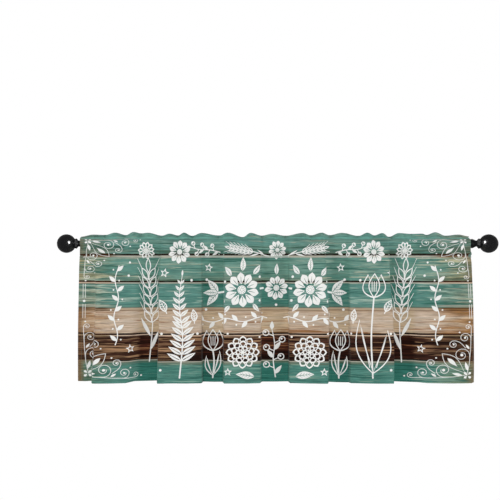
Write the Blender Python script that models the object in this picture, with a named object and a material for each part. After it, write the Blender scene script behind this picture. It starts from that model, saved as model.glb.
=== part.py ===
"""Window valance gathered on a curtain rod with ball finials.

Metres, +Z up. The origin is on the rod's axis at the middle of its length.
+X runs along the rod, to the right for someone in the room. +Y points at the window.
"""
import math
from collections import namedtuple

import bmesh
import bpy
from mathutils import Vector

# ---------------------------------------------------------------- driving dimensions
ROD_DIAMETER = 0.0254
ROD_WALL = 0.0008
ROD_LENGTH = 1.1764
PIECE_GAP = 0.0003

BALL_DIAMETER = 0.057
BALL_DISTANCE = 1.2904          # between the centres of the two balls
SPIGOT_LENGTH = 0.028
TURNED_SIDES = 32
SHARP_ANGLE = math.radians(35)
MERGE_DISTANCE = 1e-6           # joins the points that a turned outline has on its axis
BALL_STEPS = 13                 # steps of the ball's outline

# The finial's neck from the rod's end out to the ball: distance from the rod's end, radius.
NeckRow = namedtuple("NeckRow", "along radius")
NECK_ROWS = (
    NeckRow(0.0000, 0.0124),    # bead
    NeckRow(0.0030, 0.0137),
    NeckRow(0.0065, 0.0140),
    NeckRow(0.0100, 0.0126),
    NeckRow(0.0135, 0.0112),    # waist
    NeckRow(0.0175, 0.0092),
    NeckRow(0.0210, 0.0098),
    NeckRow(0.0238, 0.0130),    # collar
    NeckRow(0.0262, 0.0154),
    NeckRow(0.0285, 0.0152),
    NeckRow(0.0306, 0.0134),
)
BALL_FOOT_RADIUS = 0.0138       # where the ball's surface leaves the collar

SHEET = 0.0012                  # thickness of one layer of cloth
HEM_Z = -0.4236
HEADING_Z = 0.0293              # mean height of the ruffled top edge
HEADING_SEAM_Z = 0.0172         # seam between the ruffle and the rod pocket
POCKET_SEAM_Z = -0.036          # seam that closes the pocket under the rod
HANG_Y = -0.006                 # plane that the skirt hangs about

COLUMN_SPACING = 0.0165         # widest step between two columns of the mesh
FLANK_STEPS = 3                 # column steps across the side of a fold
PANEL_CROWN = 0.0015            # how far the middle of a flat stretch swells forward
FOLD_REACH = 0.011              # set-back of a fold from HANG_Y that counts as full
GATHER_RATIO = 0.25             # swing of a gather over its half width
GATHER_LIMIT = 0.0060           # largest swing of a gather

# ---------------------------------------------------------------- folds of the skirt
# One row for each flat stretch between two fold sides, from left to right. Its two side
# edges are given at the heading, at mid height and at the hem. set_left and set_right say
# how far it stands behind the rod's axis at these edges (negative is towards the room),
# and lift says how far its hem is raised.
Panel = namedtuple("Panel", "name top_left top_right mid_left mid_right hem_left hem_right"
                            " set_left set_right lift")
PANELS = (
    Panel("tuck_1", -0.6025, -0.5640, -0.6096, -0.5640, -0.6110, -0.5720, 0.004, 0.007, 0.0030),
    Panel("face_1", -0.5560, -0.4060, -0.5490, -0.4400, -0.5610, -0.4640, -0.018, -0.014, 0.0),
    Panel("tuck_2", -0.3850, -0.3580, -0.4040, -0.3671, -0.4380, -0.3710, 0.0060, 0.0145, 0.0023),
    Panel("face_2", -0.3500, -0.2350, -0.3588, -0.2345, -0.3640, -0.2350, -0.020, -0.013, 0.0),
    Panel("tuck_3", -0.2280, -0.1700, -0.2280, -0.1684, -0.2280, -0.1700, 0.0105, 0.0065, 0.0),
    Panel("face_3", -0.1630, -0.0540, -0.1623, -0.0540, -0.1630, -0.0540, -0.019, -0.014, 0.0),
    Panel("tuck_4", -0.0460, 0.0320, -0.0462, 0.0318, -0.0460, 0.0320, 0.0060, 0.0105, 0.0006),
    Panel("face_4", 0.0370, 0.1350, 0.0370, 0.1500, 0.0370, 0.1490, -0.012, -0.020, 0.0),
    Panel("tuck_5", 0.1440, 0.2050, 0.1590, 0.2155, 0.1570, 0.2160, 0.0115, 0.0045, -0.0010),
    Panel("face_5", 0.2130, 0.3280, 0.2230, 0.3462, 0.2240, 0.3510, -0.013, -0.020, 0.0),
    Panel("tuck_6", 0.3370, 0.3520, 0.3560, 0.3900, 0.3600, 0.4180, 0.0125, 0.0050, 0.0),
    Panel("face_6", 0.3740, 0.5240, 0.4260, 0.5330, 0.4620, 0.5360, -0.013, -0.018, 0.0),
    Panel("face_7", 0.5340, 0.5800, 0.5430, 0.5895, 0.5460, 0.5905, -0.017, -0.012, 0.0),
    Panel("edge_curl", 0.5835, 0.5865, 0.5940, 0.5985, 0.5945, 0.5990, -0.008, -0.003, 0.0005),
)

# ---------------------------------------------------------------- gathers of the heading
# One row for each gather, from left to right: where its crest and the valley after it lie
# along the rod, and how far the top edge stands above its mean height at each.
Gather = namedtuple("Gather", "crest crest_rise valley valley_rise")
GATHERS = (
    Gather(-0.5640, -0.0020, -0.5280, -0.0030),
    Gather(-0.4946, 0.0040, -0.4640, -0.0034),
    Gather(-0.4400, 0.0062, -0.4180, 0.0020),
    Gather(-0.3960, 0.0036, -0.3540, -0.0049),
    Gather(-0.3295, 0.0009, -0.3040, -0.0046),
    Gather(-0.2860, 0.0043, -0.2623, -0.0058),
    Gather(-0.2317, 0.0030, -0.1790, -0.0045),
    Gather(-0.1522, 0.0040, -0.1060, -0.0095),
    Gather(-0.0830, 0.0034, -0.0483, -0.0049),
    Gather(-0.0177, 0.0006, 0.0250, -0.0052),
    Gather(0.0760, 0.0030, 0.1020, -0.0040),
    Gather(0.1350, 0.0040, 0.1600, -0.0034),
    Gather(0.1963, 0.0034, 0.2480, -0.0058),
    Gather(0.2740, 0.0040, 0.2960, -0.0043),
    Gather(0.3185, 0.0028, 0.3420, -0.0083),
    Gather(0.3700, 0.0028, 0.4100, 0.0004),
    Gather(0.4400, 0.0010, 0.4560, -0.0030),
    Gather(0.4800, 0.0052, 0.5142, -0.0052),
    Gather(0.5500, -0.0020, 0.5865, -0.0070),
)
LEFT_END = (-0.6025, -0.0080)   # place and rise of the top edge's left corner

# ---------------------------------------------------------------- rows up the cloth
# Skirt rows, from the hem up to the pocket's seam: height, how much of the fold, of the
# gather and of the hem's lift reaches that height, and how many layers thick it is.
SkirtRow = namedtuple("SkirtRow", "z fold gather lift layers")
SKIRT_ROWS = (
    SkirtRow(HEM_Z, 1.15, 0.00, 1.0, 1.0),
    SkirtRow(-0.290, 1.08, 0.00, 0.3, 1.0),
    SkirtRow(-0.150, 0.86, 0.00, 0.0, 1.0),
    SkirtRow(-0.095, 0.64, 0.12, 0.0, 1.0),
    SkirtRow(-0.060, 0.50, 0.35, 0.0, 1.0),
    SkirtRow(POCKET_SEAM_Z, 0.40, 0.60, 0.0, 1.5),
)
# Pocket rows between the two seams, from the lower one up: place of the front layer and
# of the back layer before they puff out, and how much of the puff they take.
PocketRow = namedtuple("PocketRow", "z front_y back_y puff")
POCKET_ROWS = (
    PocketRow(-0.0210, -0.0104, 0.0052, 0.80),
    PocketRow(-0.0080, -0.0144, 0.0144, 1.00),
    PocketRow(0.0030, -0.0162, 0.0162, 1.00),
    PocketRow(0.0110, -0.0123, 0.0123, 0.75),
    PocketRow(0.0152, -0.0068, 0.0068, 0.40),
)
FACE_PUFF = 0.0045              # how far a forward stretch stands off the rod
ROD_PINCH = 0.008               # share of its width that the gathers draw in at the rod
PINCH_Z, PINCH_REACH = -0.008, 0.024
SEAM_SWING = 0.35               # part of a gather's swing that the heading's seam keeps
HEADING_FOLD = 0.25             # part of a fold's depth that the top edge keeps

# ---------------------------------------------------------------- finish
BLACK_METAL = ("black_metal", (0.012, 0.012, 0.013), 0.18, 0.6)
PRINTED_CLOTH = ("printed_cloth", (0.13, 0.22, 0.19), 0.85, 0.0)


def mix(low, high, share):
    return low + (high - low) * share


def ease(share):
    """0 to 1 with a soft start and end."""
    return 0.5 - 0.5 * math.cos(math.pi * share)


def clear_scene():
    for item in list(bpy.data.objects):
        bpy.data.objects.remove(item, do_unlink=True)


def material(name, colour, roughness, metallic):
    found = bpy.data.materials.get(name)
    if found:
        return found
    made = bpy.data.materials.new(name)
    made.use_nodes = True
    shader = made.node_tree.nodes["Principled BSDF"]
    shader.inputs["Base Color"].default_value = (*colour, 1.0)
    shader.inputs["Roughness"].default_value = roughness
    shader.inputs["Metallic"].default_value = metallic
    return made


def add_object(name, mesh_data, finish):
    bmesh.ops.recalc_face_normals(mesh_data, faces=mesh_data.faces)
    mesh = bpy.data.meshes.new(name)
    mesh_data.to_mesh(mesh)
    mesh_data.free()
    mesh.materials.append(material(*finish))
    mesh.shade_smooth()
    mesh.set_sharp_from_angle(angle=SHARP_ANGLE)
    item = bpy.data.objects.new(name, mesh)
    bpy.context.scene.collection.objects.link(item)


# ---------------------------------------------------------------- rod and finials
def turned_solid(name, outline, closed, finish):
    """Spin an outline of (x, radius) points about the X axis."""
    data = bmesh.new()
    points = [data.verts.new((x, 0.0, radius)) for x, radius in outline]
    pairs = list(zip(points, points[1:]))
    if closed:
        pairs.append((points[-1], points[0]))
    edges = [data.edges.new(pair) for pair in pairs]
    bmesh.ops.spin(data, geom=points + edges, cent=(0, 0, 0), axis=(1, 0, 0),
                   angle=2 * math.pi, steps=TURNED_SIDES, use_merge=True, use_duplicate=False)
    bmesh.ops.remove_doubles(data, verts=data.verts, dist=MERGE_DISTANCE)
    add_object(name, data, finish)


def build_rod():
    half = ROD_LENGTH / 2
    outer = ROD_DIAMETER / 2
    inner = outer - ROD_WALL
    outline = [(-half, inner), (-half, outer), (half, outer), (half, inner)]
    turned_solid("rod", outline, True, BLACK_METAL)


def finial_outline():
    """Right-hand finial as (x, radius) points: spigot, neck and ball."""
    shoulder = ROD_LENGTH / 2 + PIECE_GAP
    spigot = ROD_DIAMETER / 2 - ROD_WALL - PIECE_GAP
    outline = [(shoulder - SPIGOT_LENGTH, 0.0), (shoulder - SPIGOT_LENGTH, spigot),
               (shoulder, spigot)]
    outline += [(shoulder + row.along, row.radius) for row in NECK_ROWS]
    ball = BALL_DIAMETER / 2
    foot = math.asin(BALL_FOOT_RADIUS / ball)
    for step in range(BALL_STEPS + 1):
        turn = mix(foot, math.pi, step / BALL_STEPS)
        radius = 0.0 if step == BALL_STEPS else ball * math.sin(turn)
        outline.append((BALL_DISTANCE / 2 - ball * math.cos(turn), radius))
    return outline


def build_finials():
    outline = finial_outline()
    turned_solid("finial_right", outline, False, BLACK_METAL)
    turned_solid("finial_left", [(-x, radius) for x, radius in outline], False, BLACK_METAL)


# ---------------------------------------------------------------- cloth
def cloth_columns():
    """Places across the cloth: x at heading, mid height and hem, set-back and lift."""
    columns = []
    for index, panel in enumerate(PANELS):
        widest = max(panel.top_right - panel.top_left, panel.hem_right - panel.hem_left)
        steps = max(1, math.ceil(widest / COLUMN_SPACING))
        for step in range(steps + 1):
            share = step / steps
            crown = PANEL_CROWN * math.sin(math.pi * share)
            columns.append((mix(panel.top_left, panel.top_right, share),
                            mix(panel.mid_left, panel.mid_right, share),
                            mix(panel.hem_left, panel.hem_right, share),
                            mix(panel.set_left, panel.set_right, share) - crown, panel.lift))
        if index + 1 == len(PANELS):
            break
        after = PANELS[index + 1]
        for step in range(1, FLANK_STEPS):
            share = step / FLANK_STEPS
            columns.append((mix(panel.top_right, after.top_left, share),
                            mix(panel.mid_right, after.mid_left, share),
                            mix(panel.hem_right, after.hem_left, share),
                            mix(panel.set_right, after.set_left, ease(share)),
                            mix(panel.lift, after.lift, share)))
    return columns


def gather_knots():
    """(x, swing towards the room, rise) at the left corner and each crest and valley."""
    turns = [(LEFT_END[0], -1.0, LEFT_END[1])]
    for gather in GATHERS:
        turns.append((gather.crest, 1.0, gather.crest_rise))
        turns.append((gather.valley, -1.0, gather.valley_rise))
    knots = []
    for index, (x, sign, rise) in enumerate(turns):
        before = turns[max(0, index - 1)][0]
        after = turns[min(len(turns) - 1, index + 1)][0]
        swing = min(GATHER_LIMIT, GATHER_RATIO * (after - before) / 2)
        knots.append((x, sign * swing, rise))
    return knots


def gather_at(x, knots):
    """Swing towards the room and rise of the top edge, at x along the heading."""
    for low, high in zip(knots, knots[1:]):
        if x <= high[0]:
            break
    share = ease(min(1.0, max(0.0, (x - low[0]) / (high[0] - low[0]))))
    return mix(low[1], high[1], share), mix(low[2], high[2], share)


def across(column, z):
    """x of a column at a height: a curve through its three given places, pinched at the rod."""
    top, mid, hem = column[:3]
    up = (z - HEM_Z) / (HEADING_Z - HEM_Z)
    x = hem * (1 - up) * (1 - 2 * up) + mid * 4 * up * (1 - up) + top * up * (2 * up - 1)
    return x * (1 - ROD_PINCH * math.exp(-((z - PINCH_Z) / PINCH_REACH) ** 2))


def outward(line, index, side):
    """Unit normal of a line of (y, z) points, away from the pocket."""
    along = Vector(line[index + 1]) - Vector(line[index - 1])
    return Vector((-along.y, along.x)).normalized() * side


def skirt_section(fold, swing, lift):
    """Front and back (y, z) points of the skirt, from the hem up to the pocket's seam."""
    front, back = [], []
    for row in SKIRT_ROWS:
        y = HANG_Y + row.fold * fold - row.gather * swing
        z = row.z + row.lift * lift
        half = SHEET / 2 * row.layers
        front.append((y - half, z))
        back.append((y + half, z))
    return front, back


def pocket_section(fold, swing, seam, top_seam):
    """Outer and inner (y, z) points of the pocket's front and back layer, from seam to seam."""
    forward = min(1.0, max(0.0, 0.5 - 0.5 * fold / FOLD_REACH))
    front_puff = FACE_PUFF * forward + (GATHER_LIMIT + swing) / 2
    back_puff = (GATHER_LIMIT - swing) / 2
    front_line = [(row.front_y - row.puff * front_puff, row.z) for row in POCKET_ROWS]
    back_line = [(row.back_y + row.puff * back_puff, row.z) for row in POCKET_ROWS]
    sides = []
    for middle, side in ((front_line, 1), (back_line, -1)):
        line = [seam] + middle + [top_seam]
        outer, inner = [], []
        for index in range(1, len(line) - 1):
            offset = outward(line, index, side) * SHEET / 2
            outer.append(tuple(Vector(line[index]) + offset))
            inner.append(tuple(Vector(line[index]) - offset))
        sides.append((outer, inner))
    return sides


def cloth_section(column, knots):
    """One slice of the cloth in Y and Z.

    Gives the points up the front and up the back, and those up the front and up the back
    of the pocket's inside, which has one point on each seam, kept in the front's list.
    """
    set_back, lift = column[3], column[4]
    swing, rise = gather_at(column[0], knots)
    fold = set_back - HANG_Y
    front, back = skirt_section(fold, swing, lift)

    seam = ((front[-1][0] + back[-1][0]) / 2, POCKET_SEAM_Z)
    top_seam = (-SEAM_SWING * swing, HEADING_SEAM_Z)
    (outer_front, inner_front), (outer_back, inner_back) = pocket_section(
        fold, swing, seam, top_seam)
    inner_front.insert(0, (seam[0], seam[1] + SHEET))
    inner_front.append((top_seam[0], top_seam[1] - SHEET / 2))

    # the heading's two layers lie together, and meet in the fold of its top edge
    top_y = HEADING_FOLD * fold - swing
    front += outer_front + [(top_seam[0] - SHEET, HEADING_SEAM_Z),
                            (top_y - SHEET / 2, HEADING_Z + rise)]
    back += outer_back + [(top_seam[0] + SHEET, HEADING_SEAM_Z),
                          (top_y + SHEET / 2, HEADING_Z + rise)]
    return front, back, inner_front, inner_back


def bridge(data, ring, twin):
    """Faces between two closed rings of the same number of points."""
    for here in range(len(ring)):
        after = (here + 1) % len(ring)
        data.faces.new((ring[here], ring[after], twin[after], twin[here]))


def close_side(data, front, back, inner_front, inner_back):
    """Faces across the cloth's thickness at one of its side edges."""
    inner_back = [inner_front[0]] + inner_back + [inner_front[-1]]
    first_seam = len(SKIRT_ROWS) - 1
    last_seam = first_seam + len(POCKET_ROWS) + 1
    for low in range(len(front) - 1):
        if first_seam <= low < last_seam:
            step = low - first_seam
            for outer, inner in ((front, inner_front), (back, inner_back)):
                data.faces.new((outer[low], outer[low + 1], inner[step + 1], inner[step]))
            continue
        corners = [front[low], front[low + 1], back[low + 1], back[low]]
        if low + 1 == first_seam:
            corners.insert(2, inner_front[0])
        if low == last_seam:
            corners.append(inner_front[-1])
        data.faces.new(corners)


def build_valance():
    data = bmesh.new()
    knots = gather_knots()
    slices = []
    for column in cloth_columns():
        slices.append([[data.verts.new((across(column, z), y, z)) for y, z in line]
                       for line in cloth_section(column, knots)])
    for one, two in zip(slices, slices[1:]):
        for line, other in ((0, 1), (2, 3)):
            bridge(data, one[line] + one[other][::-1], two[line] + two[other][::-1])
    close_side(data, *slices[0])
    close_side(data, *slices[-1])
    add_object("valance", data, PRINTED_CLOTH)


clear_scene()
build_rod()
build_finials()
build_valance()
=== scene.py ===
"""Looks of the window valance and its curtain rod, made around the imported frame.

Metres, +Z up. The origin is on the rod's axis at the middle of its length, +X runs along
the rod to the right and +Y points at the window.

The cloth is one panel. A place on it is told flat: u runs from its finished left edge to
its right one, and v from its hem up to the top edge, over it and down the back flap.
"""
import math

import bmesh
import bpy
import numpy as np
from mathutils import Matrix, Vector, kdtree
from mathutils.geometry import delaunay_2d_cdt


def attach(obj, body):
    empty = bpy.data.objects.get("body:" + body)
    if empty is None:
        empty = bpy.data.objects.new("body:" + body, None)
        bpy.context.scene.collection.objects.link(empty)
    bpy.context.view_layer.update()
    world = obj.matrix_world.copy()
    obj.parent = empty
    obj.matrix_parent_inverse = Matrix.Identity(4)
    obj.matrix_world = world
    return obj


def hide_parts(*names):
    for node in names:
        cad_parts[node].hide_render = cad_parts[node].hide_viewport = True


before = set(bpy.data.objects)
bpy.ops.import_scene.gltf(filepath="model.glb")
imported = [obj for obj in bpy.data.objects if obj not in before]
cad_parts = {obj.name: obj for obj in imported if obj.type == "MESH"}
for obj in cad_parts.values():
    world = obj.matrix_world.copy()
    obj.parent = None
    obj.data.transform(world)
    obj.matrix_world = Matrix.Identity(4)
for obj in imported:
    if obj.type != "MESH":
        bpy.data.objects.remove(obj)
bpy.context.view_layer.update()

# ---- sizes of the real thing
MM = 0.001
FLAT_WIDTH = 1.372  # between the two finished side edges, laid flat
SIDE_HEM = 0.012  # turned in at each side
BOTTOM_HEM = 0.025  # turned up at the bottom
FLAP_BELOW = 0.007  # part of the back flap below the pocket's seam
CLOTH_THICKNESS = 0.0004
LAYER_PITCH = 0.0009  # between the middles of two layers sewn together
TURN_RADIUS = 0.00045  # of a folded edge

HEM_Z, POCKET_SEAM_Z = -0.4236, -0.036
HEADING_SEAM_Z, HEADING_Z = 0.0172, 0.0293
HANG_Y = -0.006  # plane that the skirt hangs about

PANEL_CROWN = 0.0015  # how far the middle of a flat stretch swells forward
FOLD_REACH = 0.011  # set-back of a fold from HANG_Y that counts as full
GATHER_RATIO = 0.25  # swing of a gather over its half width
GATHER_LIMIT = 0.006
FACE_PUFF = 0.0045  # how far a forward stretch stands off the rod
ROD_PINCH = 0.008  # share of its width that the gathers draw in at the rod
PINCH_Z, PINCH_REACH = -0.008, 0.024
SEAM_SWING = 0.35  # part of a gather's swing that the heading's seam keeps
HEADING_FOLD = 0.25  # part of a fold's depth that the top edge keeps
TOP_HALF = 0.0011  # half the distance between the heading's two layers
TOP_CALM = 0.003  # small creases fade out so near the top edge
SEAM_FLATTENS, SEAM_REACH = 0.8, 0.003  # part of the creases that a seam takes away, and how near

# ---- folds of the skirt
# One row for each flat stretch between two fold sides, from left to right, in millimetres.
# For its left edge and then for its right one: x at the heading, at mid height and at the
# hem, and how far it stands behind the rod's axis (in front of it, below 0). Then how far its
# hem is raised.
PANELS = (
    (-602.5, -609.6, -611, 4, -564, -564, -572, 7, 3),
    (-556, -549, -561, -18, -406, -440, -464, -14, 0),
    (-385, -404, -438, 6, -358, -367.1, -371, 14.5, 2.3),
    (-350, -358.8, -364, -20, -235, -234.5, -235, -13, 0),
    (-228, -228, -228, 10.5, -170, -168.4, -170, 6.5, 0),
    (-163, -162.3, -163, -19, -54, -54, -54, -14, 0),
    (-46, -46.2, -46, 6, 32, 31.8, 32, 10.5, 0.6),
    (37, 37, 37, -12, 135, 150, 149, -20, 0),
    (144, 159, 157, 11.5, 205, 215.5, 216, 4.5, -1),
    (213, 223, 224, -13, 328, 346.2, 351, -20, 0),
    (337, 356, 360, 12.5, 352, 390, 418, 5, 0),
    (374, 426, 462, -13, 524, 533, 536, -18, 0),
    (534, 543, 546, -17, 580, 589.5, 590.5, -12, 0),
    (583.5, 594, 594.5, -8, 586.5, 598.5, 599, -3, 0.5),
)
# One row for each gather of the heading, in millimetres: where its crest lies along the rod
# and how far the top edge stands above its mean height there, then the same for the valley
# after it.
GATHERS = (
    (-564, -2, -528, -3), (-494.6, 4, -464, -3.4), (-440, 6.2, -418, 2), (-396, 3.6, -354, -4.9),
    (-329.5, 0.9, -304, -4.6), (-286, 4.3, -262.3, -5.8), (-231.7, 3, -179, -4.5),
    (-152.2, 4, -106, -9.5), (-83, 3.4, -48.3, -4.9), (-17.7, 0.6, 25, -5.2), (76, 3, 102, -4),
    (135, 4, 160, -3.4), (196.3, 3.4, 248, -5.8), (274, 4, 296, -4.3), (318.5, 2.8, 342, -8.3),
    (370, 2.8, 410, 0.4), (440, 1, 456, -3), (480, 5.2, 514.2, -5.2), (550, -2, 586.5, -7),
)
LEFT_END = (-602.5, -8)  # place and rise of the top edge's left corner, in millimetres

# Rows that steer the cloth's path. Skirt rows run from the hem up to the pocket's seam:
# height, and how much of the fold, of the gather and of the hem's lift reaches it.
SKIRT_ROWS = (
    (HEM_Z, 1.15, 0.0, 1.0), (-0.29, 1.08, 0.0, 0.3), (-0.15, 0.86, 0.0, 0.0),
    (-0.095, 0.64, 0.12, 0.0), (-0.06, 0.5, 0.35, 0.0), (POCKET_SEAM_Z, 0.4, 0.6, 0.0),
)
# Pocket rows run from the lower seam up to the heading's seam: height, place of the front and
# of the back layer before they puff out, and how much of the puff they take.
POCKET_ROWS = (
    (-0.021, -0.0104, 0.0052, 0.8), (-0.008, -0.0144, 0.0144, 1.0), (0.003, -0.0162, 0.0162, 1.0),
    (0.011, -0.0123, 0.0123, 0.75), (0.0152, -0.0068, 0.0068, 0.4),
)

# ---- small creases
# One row for each soft ridge (height above 0) or trough, in millimetres: u and v of its lower
# and of its upper end, how wide it is and how far it stands out.
CREASES = (
    (20, 0, 22, 330, 10, 1.2), (100, 60, 92, 400, 16, -1.6), (150, 150, 160, 400, 12, 1.2),
    (185, 0, 215, 260, 18, 1.6), (290, 180, 275, 390, 10, 1.4), (345, 0, 352, 300, 16, -1.4),
    (395, 120, 388, 392, 9, 1.3), (430, 0, 420, 180, 14, 1), (560, 60, 566, 395, 14, -1.4),
    (600, 0, 590, 240, 12, 1.2), (690, 200, 684, 398, 8, 1.2), (770, 0, 781, 260, 16, -1.5),
    (815, 140, 806, 396, 10, 1.4), (905, 180, 912, 396, 8, -1.1), (980, 0, 990, 310, 18, -1.3),
    (1030, 120, 1012, 394, 10, 1.5), (1130, 40, 1100, 390, 20, -1.8), (1185, 0, 1170, 300, 14, 1.6),
    (1250, 130, 1235, 396, 12, -1.4), (1352, 20, 1350, 360, 9, 1),
)
CREASE_FADES = (0.1, 0.06)  # lengths of a crease's lower and upper end
# Narrow troughs under the heading's edge: where they lie between each gather's crest (0) and
# its valley (1), how wide and how high they are.
PUCKERS = ((0.3, 0.0032, -0.0018), (1.0, 0.0042, -0.0034))
PUCKER_LENGTH = 0.034  # from the top edge down
PUCKER_FADE = 0.0204  # part of it, at its lower end, in which they fade in
NOISE_SEED = 7
# Soft unevenness: cell sizes of the noise along u and v, its height, and how far above and
# below a seam it reaches (0 where it covers all the cloth).
UNEVENNESS = ((0.055, 0.15, 0.0016, 0.0), (0.021, 0.11, 0.0005, 0.0), (0.01, 0.03, 0.0017, 0.02))

# ---- fineness of the meshes
FINE_STEP = 0.0056  # columns on a flat stretch, near the seams
SKIRT_SKIP = 2  # the skirt keeps one of so many of them
FLANK_STEPS = 8
LATTICE_COUNT = 1830  # samples of the hung surface along u
LATTICE_STEP = 0.0012  # rows of its samples in the pocket and the heading
SKIRT_LATTICE, SKIRT_LATTICE_END = 70, 0.03  # rows of its samples below, ending so far under the seam
ROW_STEP, POCKET_STEP = 0.012, 0.0041  # rows of the skirt, and of the pocket and the heading
CLEAR_OF_INK = 0.0009  # no cloth point lies nearer to a point of the print
TOP_ROWS = (-3.6, -2.1, -1.1, -0.5, 0, 0.5, 1.1, 2.1)  # near the top edge, in millimetres
TURNED_SIDES = 96


def mix(low, high, share):
    return low + (high - low) * share


def ease(share):
    """0 to 1 with a soft start and end."""
    return 0.5 - 0.5 * np.cos(np.pi * np.clip(share, 0, 1))


def bell(away, reach):
    return np.exp(-(away / reach) ** 2)


def lengths_along(line):
    """How far each point of a line lies from its first one, along it."""
    return np.concatenate([[0], np.cumsum(np.linalg.norm(np.diff(line, axis=0), axis=1))])


def curve_through(knots, values, at):
    """Smooth curve through the values given at the knots, read at other places."""
    slopes = np.gradient(values, knots, axis=0)
    low = np.clip(np.searchsorted(knots, at, side="right") - 1, 0, len(knots) - 2)
    shape = (-1,) + (1,) * (values.ndim - 1)
    width = (knots[low + 1] - knots[low]).reshape(shape)
    share = (at - knots[low]).reshape(shape) / width
    square, cube = share ** 2, share ** 3
    return ((2 * cube - 3 * square + 1) * values[low] + (cube - 2 * square + share) * width * slopes[low]
            + (3 * square - 2 * cube) * values[low + 1] + (cube - square) * width * slopes[low + 1])


# ---- the hung surface
def fold_columns():
    """Lines up the cloth from left to right: x at heading, mid height and hem, set-back, lift.

    Also says which of them the skirt keeps.
    """
    panels = np.array(PANELS) * MM
    lefts, rights = panels[:, [0, 1, 2, 3, 8]], panels[:, 4:]
    columns, kept = [], []
    for index, (left, right) in enumerate(zip(lefts, rights)):
        widest = max(right[0] - left[0], right[2] - left[2])
        steps = max(2, 2 * math.ceil(widest / FINE_STEP / 2))
        share = np.arange(steps + 1)[:, None] / steps
        face = mix(left, right, share)
        face[:, 3] -= PANEL_CROWN * np.sin(math.pi * share[:, 0])
        columns.append(face)
        kept += [step % SKIRT_SKIP == 0 for step in range(steps + 1)]
        if index + 1 < len(lefts):
            share = np.arange(1, FLANK_STEPS)[:, None] / FLANK_STEPS
            flank = mix(right, lefts[index + 1], share)
            flank[:, 3] = mix(right[3], lefts[index + 1, 3], ease(share[:, 0]))
            columns.append(flank)
            kept += [True] * len(flank)
    return np.vstack(columns), np.array(kept)


def gathers_at(x):
    """Swing towards the room and rise of the top edge, at places along the heading."""
    turns = np.array([LEFT_END, *np.reshape(GATHERS, (-1, 2))]) * MM
    places, rises = turns.T
    before = np.concatenate([places[:1], places[:-1]])
    after = np.concatenate([places[1:], places[-1:]])
    swings = np.minimum(GATHER_LIMIT, GATHER_RATIO * (after - before) / 2)
    swings[::2] *= -1
    low = np.clip(np.searchsorted(places, x, side="left") - 1, 0, len(places) - 2)
    share = ease((x - places[low]) / (places[low + 1] - places[low]))
    return mix(swings[low], swings[low + 1], share), mix(rises[low], rises[low + 1], share)


def steering_rows(columns):
    """(y, z) of every column at each row that steers the path, hem to flap end."""
    set_back = columns[:, 3] - HANG_Y
    swing, rise = gathers_at(columns[:, 0])
    forward = np.clip(0.5 - 0.5 * set_back / FOLD_REACH, 0, 1)
    front_puff = FACE_PUFF * forward + (GATHER_LIMIT + swing) / 2
    back_puff = (GATHER_LIMIT - swing) / 2
    half = LAYER_PITCH / 2
    level = np.ones_like(swing)

    rows = [(HANG_Y + fold * set_back - gather * swing, z + lift * columns[:, 4])
            for z, fold, gather, lift in SKIRT_ROWS]
    seam_y = rows[-1][0]
    rows[-1] = (seam_y - half, POCKET_SEAM_Z * level)
    rows += [(front_y - puff * front_puff, z * level) for z, front_y, _, puff in POCKET_ROWS]
    rows.append((-SEAM_SWING * swing - half, HEADING_SEAM_Z * level))
    top_row = len(rows) + 2
    for behind, below in ((-1, 2), (-0.7, 0.7), (0, 0), (0.7, 0.7), (1, 2)):
        rows.append((HEADING_FOLD * set_back - swing + behind * TOP_HALF,
                     HEADING_Z + rise - below * TOP_HALF))
    rows.append((-SEAM_SWING * swing + half, HEADING_SEAM_Z * level))
    rows += [(back_y + puff * back_puff, z * level) for z, _, back_y, puff in POCKET_ROWS[::-1]]
    rows += [(seam_y + half, z * level) for z in (POCKET_SEAM_Z, POCKET_SEAM_Z - FLAP_BELOW)]
    return np.array(rows).transpose(0, 2, 1), top_row


def across(columns, z):
    """x of every column at its heights: a curve through its three places, pinched at the rod."""
    top, mid, hem = columns[:, :3].T
    up = (z - HEM_Z) / (HEADING_Z - HEM_Z)
    x = hem * (1 - up) * (1 - 2 * up) + mid * 4 * up * (1 - up) + top * up * (2 * up - 1)
    return x * (1 - ROD_PINCH * bell(z - PINCH_Z, PINCH_REACH))


def soft_noise(u, v, cell_u, cell_v, seed):
    """Smooth noise from -1 to 1 with cells of the given sizes."""
    counts = int(np.ptp(v) / cell_v) + 3, int(np.ptp(u) / cell_u) + 3
    values = np.random.default_rng(seed).uniform(-1, 1, counts)
    x, y = (u - u.min()) / cell_u, (v - v.min()) / cell_v
    column, row = x.astype(int), y.astype(int)
    right, up = ease(x - column), ease(y - row)
    low, high = (mix(values[at, column], values[at, column + 1], right) for at in (row, row + 1))
    return mix(low, high, up)


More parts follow.
